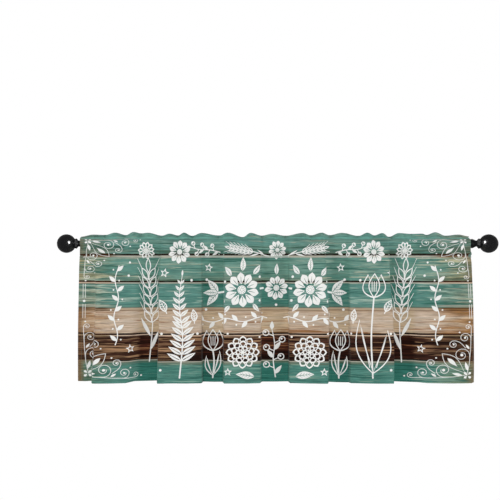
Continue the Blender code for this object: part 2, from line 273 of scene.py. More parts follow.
class HungCloth:
    """The surface that the flat panel takes when it hangs, with its printed side outward."""

    def __init__(self):
        columns, self.kept = fold_columns()
        steering, top_row = steering_rows(columns)
        steps = np.linalg.norm(np.diff(steering, axis=0), axis=2).mean(axis=1)
        knots = np.concatenate([[0.0], np.cumsum(steps)])
        self.seam_v = knots[len(SKIRT_ROWS) - 1]
        self.heading_seam_v = knots[len(SKIRT_ROWS) + len(POCKET_ROWS)]
        self.top_v = knots[top_row]
        self.heading_back_v = 2 * self.top_v - self.heading_seam_v
        self.back_seam_v, self.end_v = knots[-2:]
        self.seams = (self.seam_v, self.heading_seam_v, self.heading_back_v, self.back_seam_v)

        skirt_end = self.seam_v - SKIRT_LATTICE_END
        self.rows = np.concatenate([np.linspace(0, skirt_end, SKIRT_LATTICE), np.arange(
            skirt_end + LATTICE_STEP, self.end_v, LATTICE_STEP), [self.end_v]])
        path = curve_through(knots, steering, self.rows)
        lines = np.dstack([across(columns, path[..., 1]), path])

        # the same length of cloth runs across every row
        self.u = np.linspace(0, FLAT_WIDTH, LATTICE_COUNT)
        self.columns_u = np.array([lengths_along(line) for line in lines])
        self.columns_u *= FLAT_WIDTH / self.columns_u[:, -1:]
        self.points = np.array([np.transpose([np.interp(self.u, places, axis) for axis in line.T])
                                for places, line in zip(self.columns_u, lines)])
        top_x = self.points[np.argmin(np.abs(self.rows - self.top_v)), :, 0]
        self.puckers = [(np.interp(mix(crest, valley, share), top_x, self.u), width, height)
                        for crest, _, valley, _ in np.array(GATHERS) * MM
                        for share, width, height in PUCKERS]
        self.points += self.normals_of(self.points) * self.relief()[..., None]
        self.normals = self.normals_of(self.points)

    def normals_of(self, points):
        normals = np.cross(np.gradient(points, self.u, axis=1), np.gradient(points, self.rows, axis=0))
        return normals / np.linalg.norm(normals, axis=2)[..., None]

    def relief(self):
        """How far the small creases move each sample outward."""
        u, v = np.meshgrid(self.u, self.rows)
        calm = np.minimum(np.abs(v - self.top_v) / TOP_CALM, 1)
        # a layer that is sewn behind another one moves with it
        behind = (v > self.top_v) & (v < self.heading_back_v)
        under = v > self.back_seam_v
        v = np.where(behind, 2 * self.top_v - v, np.where(under, self.seam_v + self.back_seam_v - v, v))
        total = np.zeros_like(u)
        for u_low, v_low, u_high, v_high, width, height in np.array(CREASES) * MM:
            share = np.clip((v - v_low) / (v_high - v_low), 0, 1)
            fade = ease((v_high - v) / CREASE_FADES[1])
            if v_low > 0:
                fade *= ease((v - v_low) / CREASE_FADES[0])
            total += height * bell(u - mix(u_low, u_high, share), width) * fade
        fade = ease((v - self.top_v + PUCKER_LENGTH) / PUCKER_FADE)
        for place, width, height in self.puckers:
            total += height * bell(u - place, width) * fade
        for index, (cell_u, cell_v, height, reach) in enumerate(UNEVENNESS):
            noise = soft_noise(u, v, cell_u, cell_v, NOISE_SEED + index)
            if reach:
                noise *= np.max([bell(v - seam, reach) for seam in (*self.seams, self.top_v)], axis=0)
            total += height * noise
        # a seam is sewn flat, so little stands off its other layer there
        for seam in self.seams:
            total *= 1 - SEAM_FLATTENS * bell(v - seam, SEAM_REACH)
        return total * calm * np.where(behind | under, -1, 1)

    def sample(self, u, v):
        """Points and outward normals at flat places, which may lie a little past an edge."""
        x = u / self.u[1]
        column = np.clip(x.astype(int), 0, LATTICE_COUNT - 2)
        row = np.clip(np.searchsorted(self.rows, v, side="right") - 1, 0, len(self.rows) - 2)
        right = (x - column)[:, None]
        up = ((v - self.rows[row]) / (self.rows[row + 1] - self.rows[row]))[:, None]
        found = []
        for grid in (self.points, self.normals):
            low, high = (mix(grid[at, column], grid[at, column + 1], right) for at in (row, row + 1))
            found.append(mix(low, high, up))
        return found[0], found[1] / np.linalg.norm(found[1], axis=1)[:, None]

    def place(self, u, v, off=0.0):
        """Points and normals at flat places, with what lies past an edge turned in behind."""
        left, left_back = turned_in(-u)
        right, right_back = turned_in(u - FLAT_WIDTH)
        low, low_back = turned_in(-v)
        inner_u = np.where(u < 0, left, np.where(u > FLAT_WIDTH, FLAT_WIDTH - right, u))
        points, normals = self.sample(inner_u, np.where(v < 0, low, v))
        return points + normals * (off - left_back - right_back - low_back)[:, None], normals

    def columns_at(self, v):
        """u of the fold-following columns at a height."""
        v = min(max(v, 0.0), self.end_v)
        row = min(np.searchsorted(self.rows, v, side="right"), len(self.rows) - 1)
        share = (v - self.rows[row - 1]) / (self.rows[row] - self.rows[row - 1])
        return mix(self.columns_u[row - 1], self.columns_u[row], share)


def turned_in(past):
    """For a flat distance past a folded edge: how far in from the edge it lies, and how far behind."""
    past = np.maximum(past, 0)
    angle = np.minimum(past / TURN_RADIUS, math.pi)
    inside = np.maximum(past - math.pi * TURN_RADIUS, 0) - TURN_RADIUS * np.sin(angle)
    return inside, TURN_RADIUS * (1 - np.cos(angle))


# ---- the white print
# A motif is a list of (outline, ink) pairs, each laid over the ones before it. Its
# outlines are in metres, around its own origin, with +X along its length.
INK, PALE_INK, BARE = 1.0, 0.8, 0.0
PEN, THIN = 0.0032, 0.0022  # widths of a drawn line
ORIGIN = (0, 0)


def direction(angle):
    return np.stack([np.cos(angle), np.sin(angle)], axis=-1)


def around(count, first=0.0):
    """Directions to points that are evenly spaced on a circle."""
    return direction(first + np.arange(count) * 2 * math.pi / count)


def turned(points, angle):
    cosine, sine = direction(angle)
    return np.asarray(points) @ np.array([[cosine, sine], [-sine, cosine]])


def set_at(motif, place, angle=0.0):
    return [(turned(points, angle) + np.array(place), ink) for points, ink in motif]


def mirrored(motif):
    return [(points * [-1, 1], ink) for points, ink in motif]


def point_on(line, share):
    """The point of a line at a share of its points, rounded down."""
    return line[int(share * (len(line) - 1))]


def smooth_line(points, step=0.0036):
    """A smooth line through a few points."""
    knots = lengths_along(points)
    count = max(4, math.ceil(knots[-1] / step))
    return curve_through(knots, np.asarray(points), np.linspace(0, knots[-1], count + 1))


def stroke(line, width, end_width):
    """Outline of a pen stroke along a line, from one width to another."""
    along = np.gradient(line, axis=0)
    along /= np.linalg.norm(along, axis=1)[:, None]
    half = np.linspace(width, end_width, len(line))[:, None] / 2
    side = np.column_stack([-along[:, 1], along[:, 0]]) * half
    start, end = line[:1] - along[:1] * half[:1], line[-1:] + along[-1:] * half[-1:]
    return np.vstack([line - side, end, (line + side)[::-1], start])


def disc(radius, centre=ORIGIN):
    return centre + radius * around(max(8, min(28, int(radius / 0.0006))))


def blade(start, end, width, bend, fullest):
    """Outline of a leaf or petal from one place to another, widest at a share of its length."""
    toward = end - start
    length = np.linalg.norm(toward)
    share = np.linspace(0, 1, max(5, min(14, int(length / 0.0032))) + 1)
    half = width / 2 * np.sin(np.pi * share ** (math.log(0.5) / math.log(fullest)))
    middle = bend * np.sin(np.pi * share)
    lower = np.column_stack([share * length, middle - half])
    upper = np.column_stack([share * length, middle + half])[-2:0:-1]
    return turned(np.vstack([lower, upper]), math.atan2(toward[1], toward[0])) + start


class Drawing:
    """A motif in the making. Its lengths are shares of its size, and only insets are in metres."""

    def __init__(self, size=1.0):
        self.size = size
        self.motif = []

    def smooth(self, points, step=0.0036):
        return smooth_line(np.array(points) * self.size, step) / self.size

    def pen(self, line, width, end_width=None):
        """A line in ink, with its widths as multiples of PEN."""
        outline = stroke(np.array(line) * self.size, width * PEN, (end_width or width) * PEN)
        self.motif.append((outline, INK))

    def cut(self, line, width, end_width):
        """A line left bare, with its widths in shares of the size."""
        outline = stroke(np.array(line) * self.size, width * self.size, end_width * self.size)
        self.motif.append((outline, BARE))

    def disc(self, radius, centre=ORIGIN, ink=INK):
        self.motif.append((disc(radius * self.size, np.array(centre) * self.size), ink))

    def blade(self, start, end, width, bend=0.0, fullest=0.45, inset=0.0, ink=INK):
        """A filled leaf or petal, or what an inset all round leaves of it."""
        start, end = np.array(start) * self.size, np.array(end) * self.size
        inward = (end - start) * inset * 1.5 / np.linalg.norm(end - start)
        self.motif.append((blade(start + inward, end - inward, width * self.size - 2 * inset,
                                 bend * self.size, fullest), ink))

    def open_blade(self, start, end, width, bend=0.0, fullest=0.45, pen=PEN, ink=INK):
        """A leaf or petal drawn as a line as wide as the pen around bare cloth."""
        self.blade(start, end, width, bend, fullest, 0.0, ink)
        self.blade(start, end, width, bend, fullest, pen, BARE)

    def petals(self, count, inner, outer, width, first=0.0, fullest=0.62, draw=None):
        """A ring of petals, open ones unless another way to draw them is given."""
        for way in around(count, first):
            (draw or self.open_blade)(way * inner, way * outer, width, 0.0, fullest)

    def eye(self, radius):
        """The middle of a flower: a disc with small bare dots."""
        self.disc(radius)
        for ring, count in ((0.38, 6), (0.74, 11)):
            for way in around(count, ring):
                self.disc(0.09 * radius, ring * radius * way, BARE)


def solid_leaf(length):
    """A filled leaf with its ribs left bare."""
    leaf = Drawing(length)
    leaf.blade(ORIGIN, (1, 0), 0.42, 0.03, 0.42)
    leaf.cut(leaf.smooth([(0.04, 0), (0.45, 0.028), (0.92, 0.006)]), 0.04, 0.012)
    for share in (0.22, 0.38, 0.54, 0.68):
        for side in (-1, 1):
            tip = (share + 0.13, side * (0.17 - 0.1 * share) + 0.02)
            leaf.cut([(share, 0.024), tip], 0.02, 0.008)
    return leaf.motif


def drawn_leaf(length):
    """A leaf drawn in line, with its ribs."""
    leaf = Drawing(length)
    leaf.open_blade(ORIGIN, (1, 0), 0.5, 0.03, 0.42)
    leaf.pen([(-0.12, -0.01), (0.4, 0.027), (0.92, 0.006)], 0.9, 0.4)
    for share in (0.2, 0.38, 0.56):
        for side in (-1, 1):
            reach = 0.18 * side * math.sin(math.pi * (share + 0.08))
            leaf.pen([(share, 0.02), (share + 0.14, reach + 0.02)], 0.7, 0.5)
    return leaf.motif


def daisy(radius):
    """An open daisy drawn in line, seen from the front."""
    flower = Drawing(radius)
    flower.petals(11, 0.2, 1, 0.46, 0.1)
    flower.eye(0.29)
    return flower.motif


def bold_daisy(radius):
    """A daisy with filled petals and a bare ring around its eye."""
    flower = Drawing(radius)
    flower.petals(10, 0.24, 1, 0.44, 0.2, 0.66, flower.blade)
    for way in around(10, 0.2):
        flower.cut([way * 0.42, way * 0.76], 0.04, 0.016)
    flower.disc(0.34, ink=BARE)
    flower.eye(0.25)
    return flower.motif


def dahlia(radius):
    """A full round flower drawn in line, petals behind petals."""
    flower = Drawing(radius)
    for count, inner, outer, width, first in ((12, 0.46, 1, 0.42, 0), (9, 0.26, 0.72, 0.4, 0.2),
                                              (6, 0.06, 0.44, 0.32, 0)):
        for way in around(count, first):
            flower.open_blade(way * inner, way * outer, width, 0.0, 0.62, 1.05 * PEN)
    flower.disc(0.11)
    return flower.motif


def star(radius):
    """A five-pointed star drawn in line."""
    corners = around(10, math.pi / 2) * np.where(np.arange(10) % 2, 0.44, 1.0)[:, None]
    return [(corners * radius, INK), (corners * (radius - 2.1 * PEN), BARE)]


def dot(radius):
    return [(disc(radius), INK)]


def berries(length):
    """A twig with round berries and small leaves."""
    sprig = Drawing(length)
    twig = sprig.smooth([ORIGIN, (0.35, 0.05), (0.7, 0.03), (1, 0.09)])
    sprig.pen(twig, 1.2, 0.7)
    radius = 0.068
    for share, side in ((0.2, 1), (0.36, -1), (0.54, 1), (0.7, -1), (0.86, 1)):
        root = point_on(twig, share)
        tip = root + [0.07, 0.15 * side]
        sprig.pen([root, tip], 0.8)
        sprig.disc(radius, tip)
        sprig.disc(radius - 0.9 * PEN / length, tip, BARE)
        sprig.disc(0.34 * radius, tip + 0.2 * radius)
    for share, side in ((0.08, -1), (0.4, 1), (0.56, -1), (0.99, 0)):
        root = point_on(twig, share)
        sprig.blade(root, root + [0.17, 0.13 * side], 0.085, 0, 0.4)
    return sprig.motif


def fern(length):
    """A tall frond: pairs of filled leaflets along a stem."""
    frond = Drawing(length)
    stem = frond.smooth([ORIGIN, (0.4, 0.025), (0.75, -0.005), (1, 0.03)], 0.004)
    frond.pen(stem, 1.4, 0.5)
    for along in np.arange(13) / 13:
        root = point_on(stem, 0.17 + 0.78 * along)
        reach = mix(0.15, 0.045, along ** 1.2)
        for side in (-1, 1):
            tip = root + reach * direction(side * math.radians(mix(60, 38, along)))
            frond.blade(root, tip, mix(0.31, 0.4, along) * reach, 0, 0.42)
            frond.cut([mix(root, tip, 0.15), mix(root, tip, 0.8)], 0.045 * reach, 0.02 * reach)
    frond.blade(stem[-4], stem[-1] + [0.025, 0], 0.02)
    return frond.motif


def wheat(length):
    """An ear of wheat on its stalk."""
    ear = Drawing(length)
    ear.pen(ear.smooth([ORIGIN, (0.5, 0.03), (0.95, 0)]), 1.1, 0.7)
    for along in np.arange(6) / 5:
        place = np.array([mix(0.4, 0.84, along), 0.02 * (1 - along)])
        for side in (-1, 1):
            tip = place + [0.13, 0.075 * side]
            ear.open_blade(place, tip, 0.062, 0, 0.5)
            ear.pen([tip, tip + [0.09, 0.045 * side]], 0.6, 0.4)
    ear.open_blade((0.91, 0), (1.07, 0), 0.06, 0, 0.5)
    for place, side in ((0.12, 1), (0.26, -1)):
        ear.blade((place, 0.01), (place + 0.2, 0.09 * side), 0.035)
    return ear.motif


def vine(length):
    """A thin wavy stem with filled leaves and dots on alternate sides."""
    spray = Drawing()
    along = np.linspace(0, 1, 60) * length
    stem = np.column_stack([along, 0.006 * np.sin(along / 0.018)])
    spray.pen(stem, 0.9)
    count = round(length / 0.03)
    for index in range(count):
        root = point_on(stem, (index + 0.5) / count)
        side = 1 if index % 2 else -1
        spray.blade(root, root + [0.017, 0.02 * side], 0.012)
        spray.disc(0.0027, root + [0.004, -0.012 * side])
    return spray.motif


def tulip(length):
    """A tulip on its stem with two long leaves."""
    flower = Drawing(length)
    head = min(0.075 / length, 0.45)
    flower.pen(flower.smooth([ORIGIN, (0.4, 0.02), (1 - head, 0)]), 1.4)
    for side, reach in ((1, 0.56), (-1, 0.46)):
        tip = np.array([reach, 0.13 * side])
        flower.open_blade((0.04, 0), tip, 0.09, 0.05 * side)
        flower.pen([(0.1, 0.03 * side), tip * 0.55, tip * 0.85], 0.7, 0.4)
    base = (1 - 1.02 * head, 0)
    for side in (-1, 1):
        flower.open_blade(base, (1 - 0.04 * head, 0.28 * side * head), 0.46 * head,
                          0.13 * side * head, 0.42)
    flower.open_blade(base, (1, 0), 0.48 * head, 0, 0.5)
    for aside in (-0.08, 0, 0.08):
        flower.pen([(1 - 0.75 * head, aside * head), (1 - 0.35 * head, 1.2 * aside * head)], 0.7)
    return flower.motif


# Right half of the garland: a leaf's root along its stem and above it, its turn and its length.
GARLAND_LEAVES = (
    (0.118, 0.057, 90, 0.042), (0.153, 0.045, 52, 0.036), (0.083, 0.045, 128, 0.036),
    (0.153, -0.045, -52, 0.03), (0.083, -0.045, -128, 0.03), (0.0, 0.041, 90, 0.034),
    (0.208, 0.0, 50, 0.052), (0.208, 0.0, -50, 0.052), (0.212, 0.0, 0, 0.042),
)
GARLAND_FLOWERS = ((0.118, 0.053), (0.0, 0.037))  # place along it and radius, the middle one last
GARLAND_DOTS = ((0.0, 0.052), (0.062, 0.036), (0.172, 0.03), (0.244, 0.046))
GARLAND_DROOP = 0.35  # how fast its ends sink


def garland(scale):
    """A bold stem with big leaves to both sides and three flowers along its middle."""
    def on_stem(along, up=0.0):
        return np.array([along, up - GARLAND_DROOP * along ** 2])

    stem = Drawing()
    stem.pen([on_stem(along) for along in np.linspace(0, 0.22, 16)], 1.8)
    motif = stem.motif
    for along, up, turn, length in GARLAND_LEAVES:
        leaf = Drawing()
        leaf.blade(ORIGIN, (length, 0), 0.42 * length + 1.6 * PEN, ink=BARE)
        leaf.motif += solid_leaf(length)
        motif += set_at(leaf.motif, on_stem(along, up), math.radians(turn))
    for along, up in GARLAND_DOTS:
        for side in ((-1, 1) if along else (-1,)):
            motif += set_at(dot(0.0042), on_stem(along, side * up))
    for along, radius in GARLAND_FLOWERS:
        flower = [(disc(radius + 0.0028), BARE)] + bold_daisy(radius)
        motif += set_at(flower, on_stem(along))
    half = [(points * scale, ink) for points, ink in motif]
    return mirrored(half[:-len(flower)]) + half


# One arm of a corner's scrollwork: for each curl its root, its middle, its radius, the angle at
# which it starts and its turns. The other arm is its mirror image across the diagonal.
CURLS = (
    ((0.018, 0.02), (0.088, 0.036), 0.024, -90, 1.3),
    ((0.07, 0.012), (0.147, 0.026), 0.018, -90, 1.25),
    ((0.128, 0.0085), (0.184, 0.016), 0.01, -90, 1.15),
    ((0.112, 0.024), (0.124, 0.06), 0.014, -20, 1.2),
)
CORNER_LEAVES = (((0.034, 0.018), (0.064, 0.025), 0.0095), ((0.108, 0.013), (0.124, 0.024), 0.0075),
                 ((0.052, 0.04), (0.06, 0.062), 0.0085))
CORNER_DOTS = ((0.003, (0.201, 0.011)), (0.0028, (0.11, 0.078)), (0.0028, (0.166, 0.042)))


def tendril(root, centre, radius, start, turns):
    """A thin line from a root that runs into a curl, with a dot in the curl's middle."""
    start = math.radians(start)
    share = np.linspace(0, 1, max(12, int(radius * turns * 700)))
    reach = radius * (1 - 0.7 * share)
    spiral = centre + reach[:, None] * direction(start + share * turns * 2 * math.pi)
    lead = spiral[0] - 0.8 * radius * direction(start + math.pi / 2)
    line = np.vstack([smooth_line([root, lead, spiral[0]], 0.004)[:-1], spiral])
    return [(stroke(line, THIN, THIN), PALE_INK), (disc(0.2 * radius, centre), INK)]


def corner_scroll():
    """Traditional scrollwork for one corner, the same on both sides of its diagonal."""
    arm = Drawing()
    for curl in CURLS:
        arm.motif += tendril(*curl)
    for leaf in CORNER_LEAVES:
        arm.blade(*leaf)
    for spot in CORNER_DOTS:
        arm.disc(*spot)
    heart = Drawing()
    heart.open_blade((0.022, 0.022), (0.094, 0.094), 0.038, 0, 0.6, THIN, PALE_INK)
    heart.blade((0.048, 0.048), (0.078, 0.078), 0.013, 0, 0.6)
    rosette = Drawing()
    rosette.petals(4, 0.002, 0.015, 0.0085, math.pi / 4, draw=rosette.blade)
    other_arm = [(points[:, ::-1], ink) for points, ink in arm.motif]
    return arm.motif + other_arm + heart.motif + set_at(rosette.motif, (0.018, 0.018))


# One row for each motif: what it is, how far to the left and to the right of the middle its
# mirrored and its plain copy stand, how high above the hem, its size (all in millimetres, but
# for the garland's size, which is 1000 times its scale) and the turn of its length in degrees.
MOTIFS = (
    (garland, None, 7, 288, 1000, 0), (wheat, 20, 34, 384, 150, 12), (bold_daisy, None, 7, 406, 31, 0),
    (berries, 196, 214, 398, 105, 5), (star, 232, 236, 350, 14, 10), (bold_daisy, 336, 344, 400, 38, 10),
    (fern, 328, None, 16, 320, 89), (tulip, None, 350, 16, 318, 90), (wheat, 452, 466, 60, 300, 90),
    (daisy, 455, 455, 404, 29, 0), (vine, 556, 570, 116, 240, 91), (vine, 20, 30, 196, 240, -2),
    (tulip, 213, 242, 12, 150, 89), (dahlia, 105, 125, 94, 50, 0), (solid_leaf, 70, 86, 20, 54, 8),
    (berries, None, 8, 14, 150, 90), (drawn_leaf, 288, 290, 186, 40, 84),
    (drawn_leaf, 372, 384, 216, 44, 60), (star, 382, 404, 334, 15, 12), (star, 512, 522, 104, 14, -10),
    (star, 147, 168, 34, 13, 0), (dot, 296, 306, 312, 4.2, 0), (dot, 384, 400, 150, 4, 0),
    (dot, 279, 284, 150, 4, 0), (dot, 516, 528, 326, 4, 0), (dot, 512, 536, 366, 3.4, 0),
    (dot, 150, 178, 150, 3.4, 0), (dot, 56, 72, 140, 3.4, 0), (dot, 384, 402, 40, 4, 0),
    (dot, 154, 168, 412, 3.6, 0),
)
CORNER_INSET = (0.01, 0.008)  # from the side edge and from the hem
TOP_CORNER = 0.447  # height of the upper corners' outer edge
CORNER_STRETCH = (0.88, 0.68)  # height over width of the lower and the upper corners
SIDE_LINES = (0.0135, 0.0205)  # from the side edge
SIDE_LINE_ENDS = (0.196, 0.3)
SIDE_LINE_GAP = 0.02


def print_outlines():
    """Every outline of the print, in the order in which they lie over each other."""
    right_edge = FLAT_WIDTH / 2
    paired = []
    for points, ink in corner_scroll():
        for upper, stretch in enumerate(CORNER_STRETCH):
            u, v = (points * [1, stretch] + CORNER_INSET).T
            height = TOP_CORNER + CORNER_INSET[1] - v if upper else v
            paired.append((np.column_stack([right_edge - u, height]), ink))
    low, high = SIDE_LINE_ENDS
    middle = (low + high) / 2
    for from_edge in SIDE_LINES:
        for ends in ((low, middle - SIDE_LINE_GAP / 2), (middle + SIDE_LINE_GAP / 2, high)):
            line = np.array([(right_edge - from_edge, end) for end in ends])
            paired.append((stroke(line, 0.6 * PEN, 0.6 * PEN), PALE_INK))
    paired += set_at(dot(0.004), (right_edge - sum(SIDE_LINES) / 2, middle))
    layers = paired + mirrored(paired)
    for shape, left, right, v, size, turn in MOTIFS:
        drawn = set_at(shape(size * MM), (0, v * MM), math.radians(turn))
        if right is not None:
            layers += set_at(drawn, (right * MM, 0))
        if left is not None:
            layers += set_at(mirrored(drawn), (-left * MM, 0))
    return [(counter_clockwise(points + [right_edge, 0]), ink) for points, ink in layers]


def counter_clockwise(points):
    x, y = points.T
    area = np.sum(x * np.roll(y, -1) - np.roll(x, -1) * y)
    return points if area > 0 else points[::-1]


# ---- materials
def srgb(red, green, blue):
    """A colour given as on a screen, from 0 to 255, as linear light."""
    shares = np.array([red, green, blue]) / 255
    linear = np.where(shares <= 0.04045, shares / 12.92, ((shares + 0.055) / 1.055) ** 2.4)
    return (*map(float, linear), 1.0)


class Value:
    """What a shader node puts out. Plain arithmetic with it adds more nodes."""

    def __init__(self, nodes, socket):
        self.nodes = nodes
        self.socket = socket

    def __add__(self, other):
        return self.nodes.maths("ADD", self, other)

    def __sub__(self, other):
        return self.nodes.maths("SUBTRACT", self, other)

    def __rsub__(self, other):
        return self.nodes.maths("SUBTRACT", other, self)

    def __mul__(self, other):
        return self.nodes.maths("MULTIPLY", self, other)

    def __truediv__(self, other):
        return self.nodes.maths("DIVIDE", self, other)


class Nodes:
    """Short ways to add shader nodes to a new material or world."""

    def __init__(self, name, owners=bpy.data.materials):
        self.owner = owners.new(name)
        self.owner.use_nodes = True
        self.tree = self.owner.node_tree

    def feed(self, node, inputs):
        for key, value in inputs.items():
            if isinstance(value, Value):
                self.tree.links.new(value.socket, node.inputs[key])
            else:
                node.inputs[key].default_value = value

    def new(self, kind, inputs, **settings):
        node = self.tree.nodes.new("ShaderNode" + kind)
        for name, value in settings.items():
            setattr(node, name, value)
        self.feed(node, inputs)
        return node

    def add(self, kind, inputs, output=0, **settings):
        return Value(self, self.new(kind, inputs, **settings).outputs[output])

    def split(self, kind, value):
        return [Value(self, part) for part in self.new(kind, {0: value}).outputs]

    def shade(self, **inputs):
        """Feeds the main shader, with _ for each space in a socket's name, and gives the material."""
        shader = self.tree.nodes["Principled BSDF"]
        self.feed(shader, {name.replace("_", " "): value for name, value in inputs.items()})
        return self.owner

    def maths(self, operation, one, two=0.0, clamp=False):
        return self.add("Math", {0: one, 1: two}, operation=operation, use_clamp=clamp)

    def between(self, value, low, high, to_low=0.0, to_high=1.0, kind="SMOOTHSTEP"):
        return self.add("MapRange", {"Value": value, "From Min": low, "From Max": high,
                                     "To Min": to_low, "To Max": to_high}, interpolation_type=kind)

    def colour(self, share, one, two, blend="MIX"):
        return self.add("Mix", {0: share, 6: one, 7: two}, 2, data_type="RGBA", blend_type=blend)

    def ramp(self, value, stops, interpolation="LINEAR"):
        node = self.new("ValToRGB", {0: value})
        node.color_ramp.interpolation = interpolation
        marks = node.color_ramp.elements
        while len(marks) < len(stops):
            marks.new(0.5)
        for mark, (position, colour) in zip(marks, stops):
            mark.position = position
            mark.color = (*colour[:3], 1.0)
        return Value(self, node.outputs[0])

    def noise(self, place, scale=1.0, detail=2.0, roughness=0.5):
        return self.add("TexNoise", {"Vector": place, "Scale": scale, "Detail": detail,
                                     "Roughness": roughness})

    def vector(self, x, y, z=0.0):
        return self.add("CombineXYZ", {0: x, 1: y, 2: z})

    def bump(self, height, strength, distance):
        return self.add("Bump", {"Height": height, "Strength": strength, "Distance": distance})


# The printed planks, from the hem up: where each starts, in millimetres; its two shades of
# paint, its light streaks, the dark of its grain and its bare wood near both ends of the cloth;
# the painted shade in the deep folds, as how much of its red, green and blue is kept there (above
# 1 it is painted light instead); and how stained it is at the left and the right edge.
PLANKS = (
    (-30, ((84, 136, 125), (77, 129, 118), (138, 168, 152), (50, 100, 90), (116, 122, 86)),
     (0.45, 0.76, 0.72), (0.75, 0.62)),
    (67.6, ((77, 47, 36), (50, 27, 20), (162, 126, 94), (27, 13, 10), (84, 57, 38)),
     (0.78, 0.58, 0.5), (0.12, 0.2)),
    (149.4, ((189, 171, 153), (187, 165, 142), (201, 185, 168), (140, 96, 60), (190, 157, 112)),
     (1.05, 1.04, 0.94), (0.7, 0.25)),
    (227, ((91, 136, 127), (82, 130, 120), (172, 190, 176), (50, 102, 90), (158, 156, 132)),
     (0.63, 0.83, 0.78), (0.1, 0.12)),
    (307.8, ((90, 136, 125), (110, 146, 134), (180, 186, 166), (54, 102, 90), (172, 158, 114)),
     (0.93, 0.97, 0.94), (0.2, 0.45)),
    (390, ((98, 144, 135), (109, 145, 134), (156, 168, 150), (56, 96, 84), (116, 118, 100)),
     (1.1, 1.1, 1.08), (0.3, 0.12)),
)
# Thin lines between planks, and near the top a line of painted shade along the folded top edge
# and a wide band of painted light over the heading's seam: height and half width in millimetres,
# colour, the same near both ends of the cloth, and strength.
DARK, RUSTY, RUST = srgb(34, 24, 18), srgb(62, 38, 24), srgb(108, 78, 58)
PALE, SANDY, DUSTY = srgb(176, 172, 158), srgb(150, 128, 100), srgb(128, 106, 82)
WARM, BROWN, TAWNY = srgb(206, 180, 158), srgb(112, 86, 60), srgb(176, 162, 140)
PAINTED_TOP_SHADE, TEAL, PAINTED_HEADING_LIGHT = srgb(46, 84, 76), srgb(98, 134, 124), srgb(122, 188, 174)
SEAMS = (
    # first a line of painted shade at the top edge, then a band of painted light that lightens the shade
    # of the heading's seam
    (470, 3, PAINTED_TOP_SHADE, PAINTED_TOP_SHADE, 0.4), (451.5, 6.8, PAINTED_HEADING_LIGHT, PAINTED_HEADING_LIGHT, 0.75), (384.6, 3.8, PALE, SANDY, 0.92),
    (385.8, 3, PALE, RUST, 1.0), (393.2, 1.4, RUSTY, RUSTY, 0.35), (390.2, 3.1, DARK, RUSTY, 1.0),
    (304.4, 2.4, PALE, WARM, 0.95), (308, 2.6, DARK, RUSTY, 1.0), (234.2, 2.8, TEAL, PALE, 0.6),
    (227.8, 1.8, BROWN, BROWN, 0.45), (226, 1.5, TAWNY, RUSTY, 0.8), (222.8, 2, TAWNY, BROWN, 0.5),
    (219.8, 1.7, BROWN, RUSTY, 0.6), (144.2, 1.7, WARM, SANDY, 0.95), (148.5, 2.6, DARK, RUSTY, 1.0),
    (138.2, 1.4, DARK, DARK, 0.6), (60.6, 4, BROWN, BROWN, 0.3), (65.2, 1.7, PALE, DUSTY, 0.95),
    (68.2, 1.9, DARK, RUSTY, 0.95),
)
# By height on the flat cloth, in millimetres: how many light streaks, dark grain lines and
# golden stains there are, in hundredths.
WEAR = (
    (-30, 28, 44, 0), (50, 30, 46, 0), (63, 45, 30, 20), (70, 12, 66, 0), (84, 44, 56, 0),
    (112, 54, 46, 0), (122, 22, 60, 0), (138, 44, 52, 0), (148, 16, 66, 0), (151, 20, 46, 30),
    (162, 35, 26, 0), (186, 40, 10, 0), (200, 30, 20, 0), (212, 26, 34, 10), (227, 15, 36, 30),
    (231, 5, 40, 0), (240, 12, 40, 0), (248, 45, 20, 0), (262, 32, 26, 0), (276, 28, 30, 0),
    (304, 18, 40, 0), (310, 20, 60, 20), (320, 42, 40, 10), (336, 36, 30, 0), (350, 12, 40, 0),
    (362, 30, 30, 0), (380, 38, 24, 0), (393, 16, 66, 10), (404, 8, 66, 10), (420, 20, 50, 0),
    (440, 26, 12, 0), (545, 34, 5, 0),
)
V_LOW, V_HIGH = -30, 560  # millimetres of height that the ramps' whole length stands for
RARE, COMMON = 0.72, 0.42  # noise above which a streak shows, where wear is 0 and 1
END_LENGTH = 0.165  # how far the bare wood at both ends reaches in
# Stretches of u that hang in a deep fold, where the print gets painted shade, and how softly they start
# and end.
DEEP_FOLDS = ((0.196, 0.29), (0.43, 0.518), (0.638, 0.75), (0.889, 0.965), (1.096, 1.194))
FOLD_SOFT = 0.014
INK_WHITE, GOLDEN, SEPIA = srgb(240, 240, 238), srgb(148, 106, 62), srgb(120, 84, 50)
UV_MAP = "cloth"


